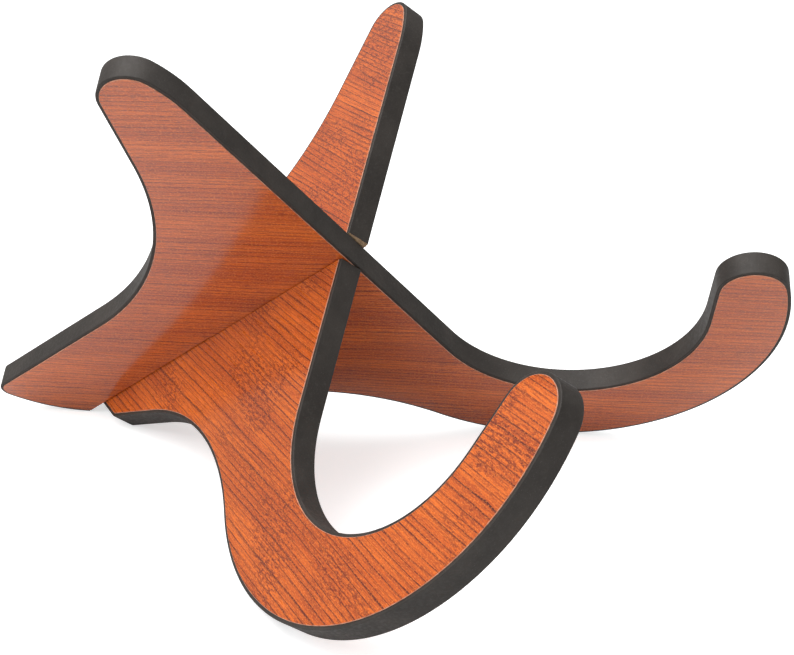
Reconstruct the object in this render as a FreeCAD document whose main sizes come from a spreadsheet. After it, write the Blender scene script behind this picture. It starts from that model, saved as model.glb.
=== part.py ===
"""Take-apart stand for a small guitar, ukulele or violin.

Two flat boards of one outline cross at a slot and hold each other upright. Each board is a
fibreboard core with a thin wood-grain veneer on both faces. The lower board has its slot open at
the top, the upper board has its slot open at the sole and slides down over the lower one. Each
board's left veneer faces -X and its right veneer faces +X.

A board is drawn flat, with X along its base line, Y up the board and Z through its thickness.
The base line touches the floor under the sole and under the cradle. The slot's axis passes
through the drawing's origin. The stand's frame has +Z up and -Y to the front, where the
instrument sits, and its origin is at the middle of its footprint, on the floor.
"""
import FreeCAD, Part

import math
import os

import Sketcher

Vector = FreeCAD.Vector
Constraint = Sketcher.Constraint

# Driving dimensions, in millimetres and degrees.
DIMENSIONS = {
    # board
    "board_thickness": 9.5,
    "veneer_thickness": 0.25,
    "veneer_setback": 1.2,        # the painted rim, from the painted edge to the veneer
    # crossing
    "crossing_angle": 90.0,       # between the two boards
    "slot_angle": 45.0,           # from the base line up to the slot's axis
    "slot_clearance": 0.3,        # on each side of the board that passes through
    "slot_depth": 75.7,           # from the base line to the joint's middle, along the slot
    "seat_gap": 0.3,              # between the two slots' ends
    # outline: the round that stands on the floor and carries the cradle
    "ground_position": 174.5,
    "ground_radius": 83.0,
    "cradle_radius": 49.0,
    "hook_width": 27.5,
    "hook_start_angle": -16.0,
    "hook_end_angle": 14.0,
    "hook_tip_radius": 12.5,
    # outline: the arm that the instrument leans on
    "brow_position": 19.5,
    "brow_height": 154.5,
    "brow_radius": 47.5,
    "arm_end_angle": 51.0,
    "arm_tip_radius": 11.0,
    # outline: the hollow behind the arm
    "hollow_setback": 57.4,
    "hollow_height": 132.8,
    "hollow_radius": 97.0,
    # outline: the foot
    "toe_radius": 5.0,
    "toe_end_angle": 236.0,
    "sole_radius": 58.0,
    "sole_flat": 25.0,
    "heel_radius": 5.0,
    "heel_run": 29.0,             # the straight edge from the heel to the arch
    # outline: the arch between the foot and the ground round
    "arch_radius": 93.0,
    "arch_height": 22.5,
}

CONVEX, CONCAVE = 1, -1
START, END, CENTRE = 1, 2, 3
ORIGIN_POINT = (-1, 1)
SLOT_OVERRUN = 90.0               # how much longer a slot's cut is than the slot's depth
LEAST_CUT = 0.8                   # share of a slot's plain volume that its cut has to remove


def direction(degrees):
    """Unit vector in the drawing, turned from the X axis."""
    return Vector(math.cos(math.radians(degrees)), math.sin(math.radians(degrees)), 0)


def bearing(start, end):
    """Angle in radians of the line from start to end."""
    return math.atan2(end.y - start.y, end.x - start.x)


def make_sheet(doc):
    """Put the driving dimensions into the document's spreadsheet."""
    sheet = doc.addObject("Spreadsheet::Sheet", "Dimensions")
    for row, (alias, value) in enumerate(DIMENSIONS.items(), start=1):
        sheet.set("A%d" % row, alias.replace("_", " "))
        sheet.set("B%d" % row, str(value))
        sheet.setAlias("B%d" % row, alias)
    doc.recompute()
    return sheet


def outline_rounds(sheet):
    """Name, centre, radius, bend and the sheet's radius of each round, counter-clockwise."""
    ground = Vector(sheet.ground_position, sheet.ground_radius, 0)
    hook_radius = sheet.cradle_radius + sheet.hook_width
    cradle = ground + direction(sheet.hook_start_angle) * (sheet.ground_radius - hook_radius)
    hook_tip = cradle + direction(sheet.hook_end_angle) * (hook_radius - sheet.hook_tip_radius)
    brow = Vector(sheet.brow_position, sheet.brow_height, 0)
    arm_tip = brow + direction(sheet.arm_end_angle) * (sheet.brow_radius - sheet.arm_tip_radius)
    hollow = Vector(-sheet.hollow_setback, sheet.hollow_height, 0)
    arch_drop = sheet.arch_radius - sheet.arch_height
    reach = sheet.ground_radius + sheet.arch_radius
    arch = Vector(ground.x - math.sqrt(reach ** 2 - (ground.y + arch_drop) ** 2), -arch_drop, 0)
    reach = math.hypot(sheet.heel_radius + sheet.arch_radius, sheet.heel_run)
    rise = sheet.heel_radius + arch_drop
    heel = Vector(arch.x - math.sqrt(reach ** 2 - rise ** 2), sheet.heel_radius, 0)
    sole = Vector(heel.x - sheet.sole_flat, sheet.sole_radius, 0)
    toe = sole + direction(sheet.toe_end_angle) * (sheet.sole_radius - sheet.toe_radius)
    return [
        ("ground", ground, sheet.ground_radius, CONVEX, "ground_radius"),
        ("hook", cradle, hook_radius, CONVEX, "cradle_radius + Dimensions.hook_width"),
        ("hook_tip", hook_tip, sheet.hook_tip_radius, CONVEX, "hook_tip_radius"),
        ("cradle", cradle, sheet.cradle_radius, CONCAVE, "cradle_radius"),
        ("brow", brow, sheet.brow_radius, CONVEX, "brow_radius"),
        ("arm_tip", arm_tip, sheet.arm_tip_radius, CONVEX, "arm_tip_radius"),
        ("hollow", hollow, sheet.hollow_radius, CONCAVE, "hollow_radius"),
        ("toe", toe, sheet.toe_radius, CONVEX, "toe_radius"),
        ("sole", sole, sheet.sole_radius, CONVEX, "sole_radius"),
        ("heel", heel, sheet.heel_radius, CONVEX, "heel_radius"),
        ("arch", arch, sheet.arch_radius, CONCAVE, "arch_radius"),
    ]


def joining_line(first, second):
    """Ends of the straight edge that runs off one round and onto the next."""
    _, start, start_radius, start_bend, _ = first
    _, end, end_radius, end_bend, _ = second
    change = end_bend * end_radius - start_bend * start_radius
    normal_angle = bearing(start, end) + math.acos(change / start.distanceToPoint(end))
    normal = Vector(math.cos(normal_angle), math.sin(normal_angle), 0)
    return start - normal * start_bend * start_radius, end - normal * end_bend * end_radius


# The rounds that a straight edge follows. The others run straight into the next round.
STRAIGHT_AFTER = ("hook_tip", "cradle", "arm_tip", "hollow", "sole", "heel")


def outline_geometry(rounds):
    """Arcs and lines of the outline in order, each with the name of its round."""
    meeting = {}
    for place, this in enumerate(rounds):
        following = rounds[(place + 1) % len(rounds)]
        if this[0] in STRAIGHT_AFTER:
            meeting[this[0]] = joining_line(this, following)
            continue
        heading = bearing(this[1], following[1])
        if this[3] == following[3] and this[2] < following[2]:
            heading += math.pi
        point = this[1] + Vector(math.cos(heading), math.sin(heading), 0) * this[2]
        meeting[this[0]] = (point, point)
    geometry = []
    for place, (name, centre, radius, bend, _) in enumerate(rounds):
        arrive = meeting[rounds[place - 1][0]][1]
        leave = meeting[name][0]
        ends = (arrive, leave) if bend == CONVEX else (leave, arrive)
        circle = Part.Circle(centre, Vector(0, 0, 1), radius)
        start_angle, end_angle = (bearing(centre, point) for point in ends)
        geometry.append((name, Part.ArcOfCircle(circle, start_angle, end_angle)))
        if name in STRAIGHT_AFTER:
            geometry.append((name + "_line", Part.LineSegment(*meeting[name])))
    return geometry


class SketchMaker:
    """A sketch on its own body's XY plane, raised to a level bound to the sheet."""

    def __init__(self, body, name, level):
        self.sketch = body.newObject("Sketcher::SketchObject", name)
        plane = [item for item in body.Origin.OriginFeatures if item.Role == "XY_Plane"][0]
        self.sketch.AttachmentSupport = [(plane, "")]
        self.sketch.MapMode = "FlatFace"
        self.sketch.setExpression("AttachmentOffset.Base.z", level)

    def tie(self, *values):
        """Add a constraint that needs no size."""
        return self.sketch.addConstraint(Constraint(*values))

    def size(self, name, expression, *values):
        """Add a constraint whose value is bound to the sheet."""
        self.sketch.renameConstraint(self.tie(*values), name)
        self.sketch.setExpression("Constraints." + name, expression)


def draw_outline(body, name, level, sheet, setback=None):
    """Sketch of the board's outline, or of the same outline drawn in by the setback."""
    rounds = outline_rounds(sheet)
    maker = SketchMaker(body, name, level)
    sketch = maker.sketch
    pieces = outline_geometry(rounds)
    index = {label: sketch.addGeometry(shape, False) for label, shape in pieces}
    bend = {label: turn for label, _, _, turn, _ in rounds}
    labels = [label for label, _ in pieces]
    for label, following in zip(labels, labels[1:] + labels[:1]):
        leave = START if bend.get(label) == CONCAVE else END
        arrive = END if bend.get(following) == CONCAVE else START
        maker.tie("Tangent", index[label], leave, index[following], arrive)
    for label, _, radius, turn, formula in rounds:
        expression = "Dimensions." + formula
        if setback:
            expression += " %s Dimensions.%s" % ("-" if turn == CONVEX else "+", setback)
        maker.size(label + "_round", expression, "Radius", index[label], radius)
    centre = {label: place for label, place, _, _, _ in rounds}

    def across(label, expression):
        ends = [ORIGIN_POINT, (index[label], CENTRE)]
        if centre[label].x < 0:
            ends.reverse()
        maker.size(label + "_x", expression, "DistanceX", *ends[0], *ends[1], abs(centre[label].x))

    def above(label, expression):
        ends = [ORIGIN_POINT, (index[label], CENTRE)]
        if centre[label].y < 0:
            ends.reverse()
        maker.size(label + "_y", expression, "DistanceY", *ends[0], *ends[1], abs(centre[label].y))

    across("ground", "Dimensions.ground_position")
    above("ground", "Dimensions.ground_radius")
    maker.tie("Coincident", index["hook"], CENTRE, index["cradle"], CENTRE)
    across("brow", "Dimensions.brow_position")
    above("brow", "Dimensions.brow_height")
    across("hollow", "Dimensions.hollow_setback")
    above("hollow", "Dimensions.hollow_height")
    above("heel", "Dimensions.heel_radius")
    above("sole", "Dimensions.sole_radius")
    run = sketch.Geometry[index["heel_line"]].length()
    maker.size("heel_run", "Dimensions.heel_run", "Distance", index["heel_line"], run)
    maker.size("sole_flat", "Dimensions.sole_flat", "DistanceX", index["sole"], CENTRE,
               index["heel"], CENTRE, sheet.sole_flat)
    above("arch", "Dimensions.arch_radius - Dimensions.arch_height")
    # Spokes fix the angle at which one round runs straight into the next.
    spokes = (("ground", END, "hook_start_angle"), ("hook", END, "hook_end_angle"),
              ("brow", END, "arm_end_angle"), ("sole", START, "toe_end_angle"))
    for label, end, angle in spokes:
        degrees = getattr(sheet, angle)
        radius = sketch.Geometry[index[label]].Radius
        rim = centre[label] + direction(degrees) * radius
        spoke = sketch.addGeometry(Part.LineSegment(centre[label], rim), True)
        maker.tie("Coincident", spoke, START, index[label], CENTRE)
        maker.tie("Coincident", spoke, END, index[label], end)
        maker.size(angle, "Dimensions.%s * 1 deg" % angle, "Angle", spoke, math.radians(degrees))
    return sketch


def slot_width(sheet):
    """Width of a square-cut slot that a board passes through at the crossing angle."""
    angle = math.radians(sheet.crossing_angle)
    passage = sheet.board_thickness * (1 + abs(math.cos(angle))) / math.sin(angle)
    return passage + 2 * sheet.slot_clearance


SLOT_WIDTH = ("Dimensions.board_thickness * (1 + abs(cos(Dimensions.crossing_angle * 1 deg)))"
              " / sin(Dimensions.crossing_angle * 1 deg) + 2 * Dimensions.slot_clearance")


def draw_slot(body, name, level, sheet, opens_at_sole):
    """Sketch of the slot: a rectangle about the slot's axis, open at the sole or at the top."""
    maker = SketchMaker(body, name, level)
    sketch = maker.sketch
    along = direction(sheet.slot_angle)
    side = direction(sheet.slot_angle + 90) * (slot_width(sheet) / 2)
    heading = -1 if opens_at_sole else 1
    closed = sheet.slot_depth - heading * sheet.seat_gap / 2
    closed_at = along * closed
    open_at = along * (closed + heading * (sheet.slot_depth + SLOT_OVERRUN))
    axis = sketch.addGeometry(Part.LineSegment(closed_at, open_at), True)
    corners = [closed_at - side, open_at - side, open_at + side, closed_at + side]
    sides = [Part.LineSegment(*ends) for ends in zip(corners, corners[1:] + corners[:1])]
    edges = [sketch.addGeometry(line, False) for line in sides]
    for first, second in zip(edges, edges[1:] + edges[:1]):
        maker.tie("Coincident", first, END, second, START)
    maker.tie("Parallel", edges[0], edges[2])
    maker.tie("Perpendicular", edges[0], edges[1])
    maker.tie("Perpendicular", edges[0], edges[3])
    maker.tie("Symmetric", edges[3], START, edges[3], END, axis, START)
    maker.tie("Symmetric", edges[1], START, edges[1], END, axis, END)
    maker.tie("PointOnObject", ORIGIN_POINT[0], ORIGIN_POINT[1], axis)
    turn = sheet.slot_angle + (180 if opens_at_sole else 0)
    formula = "Dimensions.slot_angle * 1 deg" + (" + 180 deg" if opens_at_sole else "")
    maker.size("slot_turn", formula, "Angle", axis, math.radians(turn))
    width = slot_width(sheet)
    maker.size("slot_width", SLOT_WIDTH, "Distance", edges[3], START, edges[3], END, width)
    sign = "+" if opens_at_sole else "-"
    depth = "Dimensions.slot_depth %s Dimensions.seat_gap / 2" % sign
    maker.size("slot_end", depth, "Distance", *ORIGIN_POINT, axis, START, closed)
    length = "Dimensions.slot_depth + %g" % SLOT_OVERRUN
    run = sheet.slot_depth + SLOT_OVERRUN
    maker.size("slot_run", length, "Distance", axis, START, axis, END, run)
    return sketch


def make_layer(doc, label, sheet, level, thickness, opens_at_sole, setback=None):
    """One layer of a board, padded from the outline and cut through by the slot."""
    body = doc.addObject("PartDesign::Body", label)
    body.Label = label
    pad = body.newObject("PartDesign::Pad", label + "_pad")
    pad.Profile = draw_outline(body, label + "_outline", level, sheet, setback)
    pad.setExpression("Length", thickness)
    doc.recompute()
    whole = pad.Shape.Volume
    pocket = body.newObject("PartDesign::Pocket", label + "_slot")
    pocket.Profile = draw_slot(body, label + "_slot_outline", level, sheet, opens_at_sole)
    pocket.Reversed = True
    pocket.setExpression("Length", thickness)
    body.Tip = pocket
    doc.recompute()
    least_cut = LEAST_CUT * sheet.slot_depth * slot_width(sheet) * pad.Length.Value
    if whole - pocket.Shape.Volume < least_cut:
        raise ValueError("the slot of %s cut too little" % label)
    return body


CORE = "Dimensions.board_thickness - 2 * Dimensions.veneer_thickness"
LAYERS = (
    ("right_veneer", "-Dimensions.board_thickness / 2", "Dimensions.veneer_thickness", "veneer_setback"),
    ("core", "Dimensions.veneer_thickness - Dimensions.board_thickness / 2", CORE, None),
    ("left_veneer", "Dimensions.board_thickness / 2 - Dimensions.veneer_thickness",
     "Dimensions.veneer_thickness", "veneer_setback"),
)


def board_rotation(sheet, side):
    """Turn a flat board into its place: side is 1 for a cradle at +X and -1 for one at -X."""
    half = math.radians(sheet.crossing_angle / 2)
    slot = math.radians(sheet.slot_angle)
    splay = math.asin(math.sin(slot) * math.sin(half))
    upright = math.acos(math.cos(slot) * math.sin(half) / math.cos(splay))
    base = Vector(side * math.sin(splay), -math.cos(splay), 0)
    outward = Vector(-side * math.cos(splay), -math.sin(splay), 0)
    up = outward * math.cos(upright) + Vector(0, 0, math.sin(upright))
    return FreeCAD.Rotation(base, up, Vector(), "XYZ")


def place_boards(boards, sheet):
    """Stand the boards on the floor with the origin at the middle of the footprint."""
    sides = {"lower_board": -1, "upper_board": 1}
    for name, layers in boards.items():
        for body in layers:
            body.Placement = FreeCAD.Placement(Vector(), board_rotation(sheet, sides[name]))
    boxes = [body.Shape.optimalBoundingBox(False) for layers in boards.values() for body in layers]
    middle_x = (min(box.XMin for box in boxes) + max(box.XMax for box in boxes)) / 2
    middle_y = (min(box.YMin for box in boxes) + max(box.YMax for box in boxes)) / 2
    floor = min(box.ZMin for box in boxes)
    for layers in boards.values():
        for body in layers:
            body.Placement.Base = Vector(-middle_x, -middle_y, -floor)


def check_document(doc, bodies):
    """Stop if anything failed to build."""
    for item in doc.Objects:
        if "Invalid" in item.State or "Error" in item.State:
            raise ValueError("%s failed: %s" % (item.Label, item.State))
    for body in bodies:
        if body.Shape.isNull() or not body.Shape.isValid() or len(body.Shape.Solids) != 1:
            raise ValueError("%s is not one valid solid" % body.Label)


def main():
    doc = FreeCAD.newDocument("instrument_stand")
    sheet = make_sheet(doc)
    boards = {}
    for board, opens_at_sole in (("lower_board", False), ("upper_board", True)):
        boards[board] = [
            make_layer(doc, "%s_%s" % (board, layer), sheet, level, thickness, opens_at_sole, setback)
            for layer, level, thickness, setback in LAYERS
        ]
    place_boards(boards, sheet)
    doc.recompute()
    bodies = [body for layers in boards.values() for body in layers]
    check_document(doc, bodies)
    os.makedirs("parts", exist_ok=True)
    for body in bodies:
        body.Shape.exportStep("parts/%s.step" % body.Label)
        print(body.Label, round(body.Shape.Volume, 1), body.Shape.BoundBox)


main()
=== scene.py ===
"""Looks of a take-apart stand for a small guitar, ukulele or violin.

Two flat boards of one outline cross at a slot. The frame is the stand's own: +Z up, -Y to the front,
origin on the floor at the middle of the footprint, metres.
"""

import math

import bmesh
import bpy
from mathutils import Matrix, Vector


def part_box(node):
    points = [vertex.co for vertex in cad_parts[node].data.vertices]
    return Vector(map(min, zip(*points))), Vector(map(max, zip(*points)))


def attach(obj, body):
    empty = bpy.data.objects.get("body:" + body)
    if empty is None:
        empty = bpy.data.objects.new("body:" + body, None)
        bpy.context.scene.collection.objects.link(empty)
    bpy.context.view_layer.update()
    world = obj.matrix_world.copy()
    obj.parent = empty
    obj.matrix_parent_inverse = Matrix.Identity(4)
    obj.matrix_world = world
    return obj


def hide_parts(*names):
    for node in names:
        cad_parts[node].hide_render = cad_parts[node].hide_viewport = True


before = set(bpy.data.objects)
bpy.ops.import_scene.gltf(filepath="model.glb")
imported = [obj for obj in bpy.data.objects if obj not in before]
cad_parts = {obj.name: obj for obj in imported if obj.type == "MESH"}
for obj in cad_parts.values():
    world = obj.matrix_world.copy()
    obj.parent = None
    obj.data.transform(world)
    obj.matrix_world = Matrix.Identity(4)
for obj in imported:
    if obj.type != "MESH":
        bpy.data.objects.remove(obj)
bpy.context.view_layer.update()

# BOARD CORES. Each board is sawn from medium-density fibreboard to one outline of rounds and straight
# runs. Its edges are eased and sprayed matt black; the slot is cut after that, so its walls are raw.
MM = 0.001
board_thickness = 9.5
veneer_thickness = 0.25
core_half = board_thickness / 2 - veneer_thickness
core_ease = 0.3
ease_steps = 3
finest_chord = 1.6
finest_turn = math.radians(5)
straight_limit = math.radians(0.3)
sharp_turn = math.radians(20)
near = 0.01                       # two places closer than this are one
drawing_unit = 100                # millimetres to one unit of the grain map
slot_angle = math.radians(45)
slot_clearance = 0.3
slot_half = board_thickness / 2 + slot_clearance
slot_depth = 75.7
seat_gap = 0.3
lean_angle = math.radians(45)     # half the angle between the boards
CONVEX, CONCAVE = 1, -1


def toward(degrees, reach):
    """A step in the board's drawing, turned from its base line."""
    return Vector((math.cos(math.radians(degrees)), math.sin(math.radians(degrees)))) * reach


def outline_rounds():
    """Centre, radius, bend and whether a straight run follows, for each round, counter-clockwise."""
    ground_position, ground_radius, cradle_radius = 174.5, 83.0, 49.0
    hook_width, hook_tip, hook_start_angle, hook_end_angle = 27.5, 12.5, -16, 14
    brow_position, brow_height, brow_radius = 19.5, 154.5, 47.5
    arm_end_angle, arm_tip = 51, 11.0
    hollow_setback, hollow_height, hollow_radius = 57.4, 132.8, 97.0
    toe_radius, toe_end_angle, sole_radius, sole_flat = 5.0, 236, 58.0, 25.0
    heel_radius, heel_run = 5.0, 29.0
    arch_radius, arch_height = 93.0, 22.5
    hook_radius = cradle_radius + hook_width
    ground = Vector((ground_position, ground_radius))
    cradle = ground + toward(hook_start_angle, ground_radius - hook_radius)
    brow = Vector((brow_position, brow_height))
    hollow = Vector((-hollow_setback, hollow_height))
    arch_drop = arch_radius - arch_height
    arch_reach = ground_radius + arch_radius
    arch = Vector((ground.x - math.sqrt(arch_reach ** 2 - (ground.y + arch_drop) ** 2), -arch_drop))
    heel_reach = math.hypot(heel_radius + arch_radius, heel_run)
    heel_back = math.sqrt(heel_reach ** 2 - (heel_radius + arch_drop) ** 2)
    heel = Vector((arch.x - heel_back, heel_radius))
    sole = Vector((heel.x - sole_flat, sole_radius))
    return [
        (ground, ground_radius, CONVEX, False),
        (cradle, hook_radius, CONVEX, False),
        (cradle + toward(hook_end_angle, hook_radius - hook_tip), hook_tip, CONVEX, True),
        (cradle, cradle_radius, CONCAVE, True),
        (brow, brow_radius, CONVEX, False),
        (brow + toward(arm_end_angle, brow_radius - arm_tip), arm_tip, CONVEX, True),
        (hollow, hollow_radius, CONCAVE, True),
        (sole + toward(toe_end_angle, sole_radius - toe_radius), toe_radius, CONVEX, False),
        (sole, sole_radius, CONVEX, True),
        (heel, heel_radius, CONVEX, True),
        (arch, arch_radius, CONCAVE, False),
    ]


def leave_and_arrive(this, following):
    """Where the outline leaves one round and where it reaches the next."""
    centre, radius, bend, runs_straight = this
    next_centre, next_radius, next_bend, _ = following
    step = next_centre - centre
    heading = math.atan2(step.y, step.x)
    if runs_straight:
        heading += math.acos((next_bend * next_radius - bend * radius) / step.length)
        normal = Vector((math.cos(heading), math.sin(heading)))
        return centre - normal * bend * radius, next_centre - normal * next_bend * next_radius
    if bend == next_bend and radius < next_radius:
        heading += math.pi
    point = centre + Vector((math.cos(heading), math.sin(heading))) * radius
    return point, point


def draw_outline(sheet, setback):
    """Fill a flat face with the board's outline, drawn in all round by the setback."""
    rounds = [(centre, radius - bend * setback, bend, straight)
              for centre, radius, bend, straight in outline_rounds()]
    meetings = [leave_and_arrive(*pair) for pair in zip(rounds, rounds[1:] + rounds[:1])]
    ends = []
    for place, (centre, radius, bend, _) in enumerate(rounds):
        arrive, leave = meetings[place - 1][1] - centre, meetings[place][0] - centre
        turn = math.atan2(leave.y, leave.x) - math.atan2(arrive.y, arrive.x)
        sweep = bend * ((bend * turn) % math.tau)
        steps = math.ceil(max(abs(sweep) / finest_turn, abs(sweep) * radius / finest_chord))
        start = sheet.verts.new((centre + arrive).to_3d())
        arc = bmesh.ops.spin(sheet, geom=[start], cent=centre.to_3d(), axis=(0, 0, 1), angle=sweep,
                             steps=steps)
        ends.append((start, arc["geom_last"][0]))
    for (_, last), (first, _) in zip(ends, ends[1:] + ends[:1]):
        sheet.edges.new((last, first))
    bmesh.ops.remove_doubles(sheet, verts=sheet.verts, dist=near)
    bmesh.ops.contextual_create(sheet, geom=sheet.edges[:])


def slot_directions():
    """Along the slot's axis and across it, in the drawing."""
    along = Vector((math.cos(slot_angle), math.sin(slot_angle), 0))
    return along, Vector((-along.y, along.x, 0))


def slot_end(opens_at_sole):
    """How far along its axis the slot's closed end lies."""
    return slot_depth + (-seat_gap / 2 if opens_at_sole else seat_gap / 2)


def beside_slot(point, opens_at_sole):
    """Whether a point lies in the slot or on its walls."""
    along, across = slot_directions()
    beyond = point.dot(along) - slot_end(opens_at_sole)
    if opens_at_sole:
        beyond = -beyond
    return beyond > -near and abs(point.dot(across)) < slot_half + near


def cut_slot(sheet, opens_at_sole):
    """Saw the slot out of the flat outline."""
    along, across = slot_directions()
    for place, normal in ((across * slot_half, across), (across * -slot_half, across),
                          (along * slot_end(opens_at_sole), along)):
        bmesh.ops.bisect_plane(sheet, geom=sheet.verts[:] + sheet.edges[:] + sheet.faces[:],
                               plane_co=place, plane_no=normal)
    waste = [face for face in sheet.faces if beside_slot(face.calc_center_median(), opens_at_sole)]
    bmesh.ops.delete(sheet, geom=waste, context="FACES")
    bmesh.ops.dissolve_limit(sheet, angle_limit=straight_limit, verts=sheet.verts, edges=sheet.edges)


def cut_layer(opens_at_sole, low, high, setback, eased_levels, ease):
    """One layer of a board, cut out flat, raised between two levels and eased round its rim."""
    layer = bmesh.new()
    draw_outline(layer, setback)
    cut_slot(layer, opens_at_sole)
    bmesh.ops.translate(layer, verts=layer.verts, vec=(0, 0, low))
    raised = bmesh.ops.extrude_face_region(layer, geom=layer.faces[:], use_keep_orig=True)
    top = [item for item in raised["geom"] if isinstance(item, bmesh.types.BMVert)]
    bmesh.ops.translate(layer, verts=top, vec=(0, 0, high - low))
    bmesh.ops.recalc_face_normals(layer, faces=layer.faces)
    for face in layer.faces:
        face.smooth = abs(face.normal.z) < 0.5
    for edge in layer.edges:
        edge.smooth = edge.calc_face_angle() < sharp_turn
    rim = [edge for edge in layer.edges
           if any(all(abs(v.co.z - level) < near for v in edge.verts) for level in eased_levels)
           and not all(beside_slot(v.co, opens_at_sole) for v in edge.verts)]
    eased = bmesh.ops.bevel(layer, geom=rim, affect="EDGES", offset=ease, offset_type="OFFSET",
                            segments=ease_steps, profile=0.5, material=-1, clamp_overlap=True)
    new_faces = set(eased["faces"])
    for face in new_faces:
        face.smooth = True
        for edge in face.edges:
            if any(other not in new_faces for other in edge.link_faces):
                edge.smooth = False
    grain = layer.loops.layers.uv.new("grain")
    for face in layer.faces:
        for loop in face.loops:
            loop[grain].uv = loop.vert.co.xy / drawing_unit
    return layer


def board_turn(side):
    """Rotation that stands a flat board up: side is 1 for a cradle at +X and -1 for one at -X."""
    splay = math.asin(math.sin(slot_angle) * math.sin(lean_angle))
    upright = math.acos(math.cos(slot_angle) * math.sin(lean_angle) / math.cos(splay))
    base = Vector((side * math.sin(splay), -math.cos(splay), 0))
    outward = Vector((-side * math.cos(splay), -math.sin(splay), 0))
    up = outward * math.cos(upright) + Vector((0, 0, math.sin(upright)))
    return Matrix((base, up, base.cross(up))).transposed().to_4x4()


def board_place(side, core_node):
    """Matrix from the board's drawing to the stand's frame, from the place of the board's core."""
    outline = bmesh.new()
    draw_outline(outline, 0)
    corners = [board_turn(side) @ (v.co + Vector((0, 0, level))) * MM
               for v in outline.verts for level in (-core_half, core_half)]
    outline.free()
    low = Vector(min(corner[axis] for corner in corners) for axis in range(3))
    high = Vector(max(corner[axis] for corner in corners) for axis in range(3))
    cad_low, cad_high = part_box(core_node)
    shift = (cad_low + cad_high) / 2 - (low + high) / 2
    return Matrix.Translation(shift) @ board_turn(side) @ Matrix.Scale(MM, 4)


def stand_up(layer, name, place, materials):
    """Turn a finished layer into a piece in its place on the stand."""
    bmesh.ops.transform(layer, matrix=place, verts=layer.verts)
    mesh = bpy.data.meshes.new(name)
    layer.to_mesh(mesh)
    layer.free()
    for material in materials:
        mesh.materials.append(material)
    piece = bpy.data.objects.new(name, mesh)
    bpy.context.scene.collection.objects.link(piece)
    return piece


def add_node(tree, kind, settings, inputs):
    """A shader node with its settings and inputs. An input is a number, a colour or a linked socket."""
    node = tree.nodes.new("ShaderNode" + kind)
    for name, value in settings.items():
        setattr(node, name, value)
    for name, value in inputs.items():
        if isinstance(value, bpy.types.NodeSocket):
            tree.links.new(value, node.inputs[name])
        else:
            node.inputs[name].default_value = value
    return node


def calculate(tree, operation, first, second=0.0, third=0.0):
    """Result of a sum on numbers or sockets."""
    settings = {"operation": operation}
    return add_node(tree, "Math", settings, {0: first, 1: second, 2: third}).outputs[0]


def blend_colours(tree, share, first, second):
    """The first colour with a share of the second mixed in."""
    mixer = add_node(tree, "Mix", {"data_type": "RGBA"}, {"Factor": share, "A": first, "B": second})
    return [socket for socket in mixer.outputs if socket.type == "RGBA"][0]


def remap(tree, value, low, high, new_low=0.0, new_high=1.0):
    """Value turned from one range to another with soft ends."""
    settings = {"interpolation_type": "SMOOTHSTEP"}
    inputs = {"Value": value, 1: low, 2: high, 3: new_low, 4: new_high}
    return add_node(tree, "MapRange", settings, inputs).outputs[0]


def patches(tree, place, size, detail=2.0):
    """Noise in even patches of a size in metres, on the piece's own place."""
    noise = add_node(tree, "TexNoise", {}, {"Vector": place, "Scale": 1 / size, "Detail": detail})
    return noise.outputs["Fac"]


def start_material(name):
    """A new material with its node tree and its surface shader."""
    material = bpy.data.materials.new(name)
    material.use_nodes = True
    return material, material.node_tree, material.node_tree.nodes["Principled BSDF"]


def painted_edge():
    """Matt black sprayed paint that the fibres of the board's edge show through."""
    material, tree, surface = start_material("matt_black_edge_paint")
    place = add_node(tree, "TexCoord", {}, {}).outputs["Object"]
    clouds = patches(tree, place, 0.012, 4.0)
    fibres = patches(tree, place, 0.0012, 5.0)
    speckle = patches(tree, place, 0.0004, 2.0)
    colour = blend_colours(tree, remap(tree, clouds, 0.3, 0.7), (0.021, 0.017, 0.0140, 1),
                           (0.034, 0.028, 0.0235, 1))
    colour = blend_colours(tree, remap(tree, fibres, 0.52, 0.75, 0, 0.5), colour, (0.048, 0.043, 0.038, 1))
    colour = blend_colours(tree, remap(tree, speckle, 0.62, 0.75, 0, 0.6), colour, (0.07, 0.063, 0.056, 1))
    tree.links.new(colour, surface.inputs["Base Color"])
    tree.links.new(remap(tree, fibres, 0.3, 0.7, 0.5, 0.68), surface.inputs["Roughness"])
    surface.inputs["Specular IOR Level"].default_value = 0.35
    height = calculate(tree, "MULTIPLY_ADD", speckle, 0.3, fibres)
    bump = add_node(tree, "Bump", {}, {"Strength": 0.5, "Distance": 0.00006, "Height": height})
    tree.links.new(bump.outputs["Normal"], surface.inputs["Normal"])
    return material


def raw_fibreboard():
    """Bare sawn fibreboard in the slot, with short fibres and saw marks."""
    material, tree, surface = start_material("raw_sawn_fibreboard")
    place = add_node(tree, "TexCoord", {}, {}).outputs["Object"]
    fibres = patches(tree, place, 0.0007, 5.0)
    clouds = patches(tree, place, 0.008, 3.0)
    colour = blend_colours(tree, remap(tree, fibres, 0.3, 0.7), (0.30, 0.19, 0.105, 1), (0.56, 0.39, 0.24, 1))
    colour = blend_colours(tree, remap(tree, clouds, 0.4, 0.75, 0, 0.35), colour, (0.20, 0.12, 0.07, 1))
    tree.links.new(colour, surface.inputs["Base Color"])
    surface.inputs["Roughness"].default_value = 0.85
    surface.inputs["Specular IOR Level"].default_value = 0.25
    bump = add_node(tree, "Bump", {}, {"Strength": 0.6, "Distance": 0.00008, "Height": fibres})
    tree.links.new(bump.outputs["Normal"], surface.inputs["Normal"])
    return material


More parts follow.
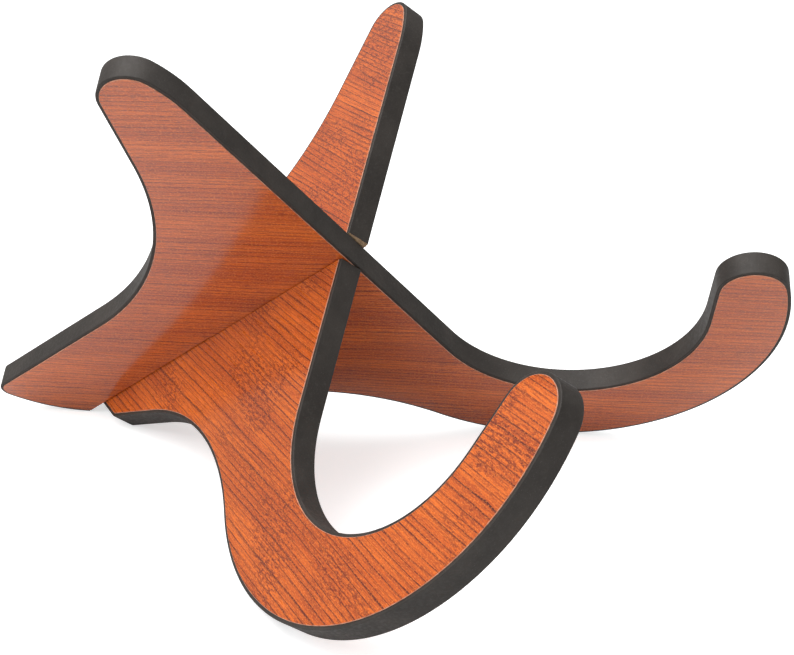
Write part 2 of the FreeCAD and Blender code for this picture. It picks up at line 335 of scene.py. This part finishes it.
edge_paint = painted_edge()
sawn_fibreboard = raw_fibreboard()
boards = {"lower_board": (-1, False), "upper_board": (1, True)}
places = {}
for board, (side, opens_at_sole) in boards.items():
    places[board] = board_place(side, board + "_core")
    core = cut_layer(opens_at_sole, -core_half, core_half, 0, (-core_half, core_half), core_ease)
    for face in core.faces:
        slot_wall = abs(face.normal.z) < 0.5 and all(beside_slot(v.co, opens_at_sole) for v in face.verts)
        face.material_index = 1 if slot_wall else 0
    piece = stand_up(core, board + "_painted_core", places[board], (edge_paint, sawn_fibreboard))
    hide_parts(board + "_core")
    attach(piece, board)

# VENEERS. A thin sheet with a reddish wood figure is pressed on both faces of each board, grain along
# the board's base line, and finished in satin lacquer. It stops short of the edge, so a black rim shows.
veneer_setback = 1.2
veneer_ease = 0.15


def streaks(tree, place, along, across, detail=2.0, roughness=0.55):
    """Noise drawn out along the grain, with the length and width of its patches in millimetres."""
    stretched = add_node(tree, "VectorMath", {"operation": "MULTIPLY"},
                         {0: place, 1: (1 / along, 1 / across, 1)})
    noise = add_node(tree, "TexNoise", {}, {"Vector": stretched.outputs[0], "Scale": 1.0,
                                            "Detail": detail, "Roughness": roughness})
    return noise.outputs["Fac"]


def lacquered_veneer(name, cut_from, ring_width, line_depth, figure_share):
    """Satin lacquered veneer, with painted glints in its colour; cut_from is where its sheet lay in the log,
    in millimetres.
    """
    material, tree, surface = start_material(name)
    sheet = add_node(tree, "UVMap", {"uv_map": "grain"}, {}).outputs["UV"]
    to_millimetres = (drawing_unit, drawing_unit, 1)
    log = add_node(tree, "Mapping", {},
                   {"Vector": sheet, "Location": cut_from, "Scale": to_millimetres})
    place = log.outputs["Vector"]
    across = add_node(tree, "SeparateXYZ", {}, {0: place}).outputs["Y"]
    # growth rings: bands across the grain that wander along it and end in a thin dark line
    wander = calculate(tree, "MULTIPLY_ADD", streaks(tree, place, 210, 60, 1.0), 13.0, across)
    wander = calculate(tree, "MULTIPLY_ADD", streaks(tree, place, 16, 5, 2.0), 0.7, wander)
    uneven = calculate(tree, "MULTIPLY_ADD", streaks(tree, place, 900, 7, 2.0), 2.4,
                       calculate(tree, "DIVIDE", wander, ring_width))
    ring = calculate(tree, "FRACT", uneven)
    line = calculate(tree, "MULTIPLY", remap(tree, ring, 0.74, 0.92), remap(tree, ring, 1.0, 0.98))
    shade = calculate(tree, "MULTIPLY", remap(tree, ring, 0.2, 0.95), remap(tree, ring, 1.0, 0.95))
    strength = remap(tree, streaks(tree, place, 60, 4, 2.0), 0.36, 0.56, 0.45, 1.0)
    # figure: patches where short dark flecks break the lines up
    figure = remap(tree, streaks(tree, place, 50, 32, 2.0), 0.46, 0.58, 0.1, figure_share)
    flecks = remap(tree, streaks(tree, place, 2.6, 0.9, 2.0, 0.6), 0.47, 0.6)
    pores = remap(tree, streaks(tree, place, 4.0, 0.34, 2.0, 0.6), 0.52, 0.66)
    fine = streaks(tree, place, 18, 0.55, 3.0, 0.65)
    # painted glints: a mask of tiny specks where the colour is lit up as if light sparkled off the lacquer
    painted_glint_specks = streaks(tree, place, 0.8, 0.45, 2.0, 0.6)
    bands = streaks(tree, place, 120, 8, 2.0)
    pale, red, brown = (0.69, 0.136, 0.009, 1), (0.50, 0.080, 0.005, 1), (0.26, 0.033, 0.003, 1)
    dark, fleck_brown, painted_glint = (0.085, 0.008, 0.001, 1), (0.18, 0.019, 0.002, 1), (0.84, 0.235, 0.03, 1)
    colour = blend_colours(tree, remap(tree, bands, 0.34, 0.66), pale, red)
    colour = blend_colours(tree, remap(tree, fine, 0.42, 0.64, 0, 0.6), colour, brown)
    colour = blend_colours(tree, calculate(tree, "MULTIPLY", shade, 0.16), colour, dark)
    lines = calculate(tree, "MULTIPLY", calculate(tree, "MULTIPLY", line, strength), line_depth)
    colour = blend_colours(tree, lines, colour, dark)
    fleck_share = calculate(tree, "MULTIPLY", flecks, figure)
    colour = blend_colours(tree, fleck_share, colour, fleck_brown)
    colour = blend_colours(tree, calculate(tree, "MULTIPLY", pores, 0.5), colour, dark)
    # painted highlight: the specks are mixed towards a colour lighter than the palest wood, standing in for
    # glints of light
    colour = blend_colours(tree, remap(tree, painted_glint_specks, 0.48, 0.72, 0, 0.5), colour, painted_glint)
    tree.links.new(colour, surface.inputs["Base Color"])
    tree.links.new(remap(tree, fine, 0.3, 0.7, 0.26, 0.36), surface.inputs["Roughness"])
    surface.inputs["Specular IOR Level"].default_value = 0.05
    surface.inputs["Coat Weight"].default_value = 1.0
    surface.inputs["Coat Roughness"].default_value = 0.15
    surface.inputs["Coat IOR"].default_value = 1.75
    height = calculate(tree, "MULTIPLY_ADD", pores, -1.0, calculate(tree, "MULTIPLY", fleck_share, -0.8))
    bump = add_node(tree, "Bump", {}, {"Strength": 0.4, "Distance": 0.00004, "Height": height})
    tree.links.new(bump.outputs["Normal"], surface.inputs["Normal"])
    return material


def veneer_rim():
    """The veneer's cut and eased rim, where paler backing shows under the lacquer."""
    material, tree, surface = start_material("veneer_cut_rim")
    place = add_node(tree, "TexCoord", {}, {}).outputs["Object"]
    nicks = patches(tree, place, 0.002, 4.0)
    colour = blend_colours(tree, remap(tree, nicks, 0.35, 0.65), (0.56, 0.27, 0.17, 1), (0.36, 0.14, 0.08, 1))
    tree.links.new(colour, surface.inputs["Base Color"])
    surface.inputs["Roughness"].default_value = 0.45
    return material


rim_backing = veneer_rim()
sheets = {
    "lower_board_left": ((0, 0, 0), 2.2, 1.0, 0.9),
    "lower_board_right": ((310, 150, 20), 2.4, 0.8, 0.5),
    "upper_board_left": ((-270, 90, 40), 2.1, 0.7, 0.3),
    "upper_board_right": ((120, -230, 60), 2.4, 0.8, 0.6),
}
for board, (side, opens_at_sole) in boards.items():
    for face_name, facing in (("left", 1), ("right", -1)):
        inner, outer = facing * core_half, facing * board_thickness / 2
        veneer = cut_layer(opens_at_sole, min(inner, outer), max(inner, outer), veneer_setback,
                           (outer,), veneer_ease)
        for face in veneer.faces:
            flat = abs(face.normal.z) > 0.99
            face.material_index = 0 if flat else 1
        sheet_name = "%s_%s" % (board, face_name)
        lacquer = lacquered_veneer(sheet_name + "_lacquered_veneer", *sheets[sheet_name])
        piece = stand_up(veneer, sheet_name + "_face", places[board], (lacquer, rim_backing))
        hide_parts(sheet_name + "_veneer")
        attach(piece, board)

# STUDIO. The stand is shown alone on a seamless white floor. A large soft box stands at the upper left
# and a weaker one hangs overhead, in white surroundings that are brightest above and behind.
floor_half = 40.0
floor_mesh = bmesh.new()
bmesh.ops.create_grid(floor_mesh, x_segments=1, y_segments=1, size=floor_half)
floor_data = bpy.data.meshes.new("studio_floor")
floor_mesh.to_mesh(floor_data)
floor_mesh.free()
floor = bpy.data.objects.new("studio_floor", floor_data)
bpy.context.scene.collection.objects.link(floor)
floor_grey, camera_lift = 0.69, 0.62
white_floor, floor_tree, floor_surface = start_material("seamless_white")
floor_surface.inputs["Base Color"].default_value = (floor_grey, floor_grey, floor_grey, 1)
floor_surface.inputs["Roughness"].default_value = 0.9
floor_surface.inputs["Specular IOR Level"].default_value = 0.2
seen = add_node(floor_tree, "LightPath", {}, {}).outputs["Is Camera Ray"]
lift = calculate(floor_tree, "MULTIPLY", seen, camera_lift)
floor_tree.links.new(lift, floor_surface.inputs["Emission Strength"])
floor_surface.inputs["Emission Color"].default_value = (1, 1, 1, 1)
floor_data.materials.append(white_floor)

surroundings = bpy.data.worlds.new("white_surroundings")
surroundings.use_nodes = True
sky_tree = surroundings.node_tree
heading = add_node(sky_tree, "TexCoord", {}, {}).outputs["Generated"]
axes = add_node(sky_tree, "SeparateXYZ", {}, {0: heading}).outputs
overhead = remap(sky_tree, axes["Z"], 0.15, 0.9, 0.12, 1.1)
glow = calculate(sky_tree, "ADD", overhead, remap(sky_tree, axes["Y"], 0.5, 0.95, 0.0, 0.2))
sky_tree.links.new(glow, sky_tree.nodes["Background"].inputs["Strength"])
sky_tree.nodes["Background"].inputs["Color"].default_value = (1, 1, 1, 1)
bpy.context.scene.world = surroundings


def soft_light(name, place, target, size, power):
    """A square studio soft box turned towards a point."""
    lamp = bpy.data.lights.new(name, "AREA")
    lamp.size = size
    lamp.energy = power
    box = bpy.data.objects.new(name, lamp)
    box.location = place
    box.rotation_euler = (Vector(target) - Vector(place)).to_track_quat("-Z", "Y").to_euler()
    bpy.context.scene.collection.objects.link(box)


soft_light("key_soft_box", (-0.85, 0.15, 1.1), (0, 0, 0.05), 1.0, 16)
soft_light("overhead_soft_box", (0.3, 0.3, 1.4), (0, 0, 0.05), 1.0, 8)

# camera: left of the front, a little above the arms, as when the stand is on a table
camera_place = Vector((-0.41810, -0.31915, 0.24875))
camera_target = Vector((0.03560, -0.00710, 0.05001))
camera_roll = math.radians(0.91)
camera_data = bpy.data.cameras.new("camera")
camera_data.sensor_width = 36
camera_data.lens = 71.3
camera_data.clip_start = 0.01
camera = bpy.data.objects.new("camera", camera_data)
aim = (camera_target - camera_place).to_track_quat("-Z", "Y").to_matrix().to_4x4()
camera.matrix_world = Matrix.Translation(camera_place) @ aim @ Matrix.Rotation(camera_roll, 4, "Z")
bpy.context.scene.collection.objects.link(camera)
bpy.context.scene.camera = camera
bpy.context.scene.view_settings.view_transform = "Standard"
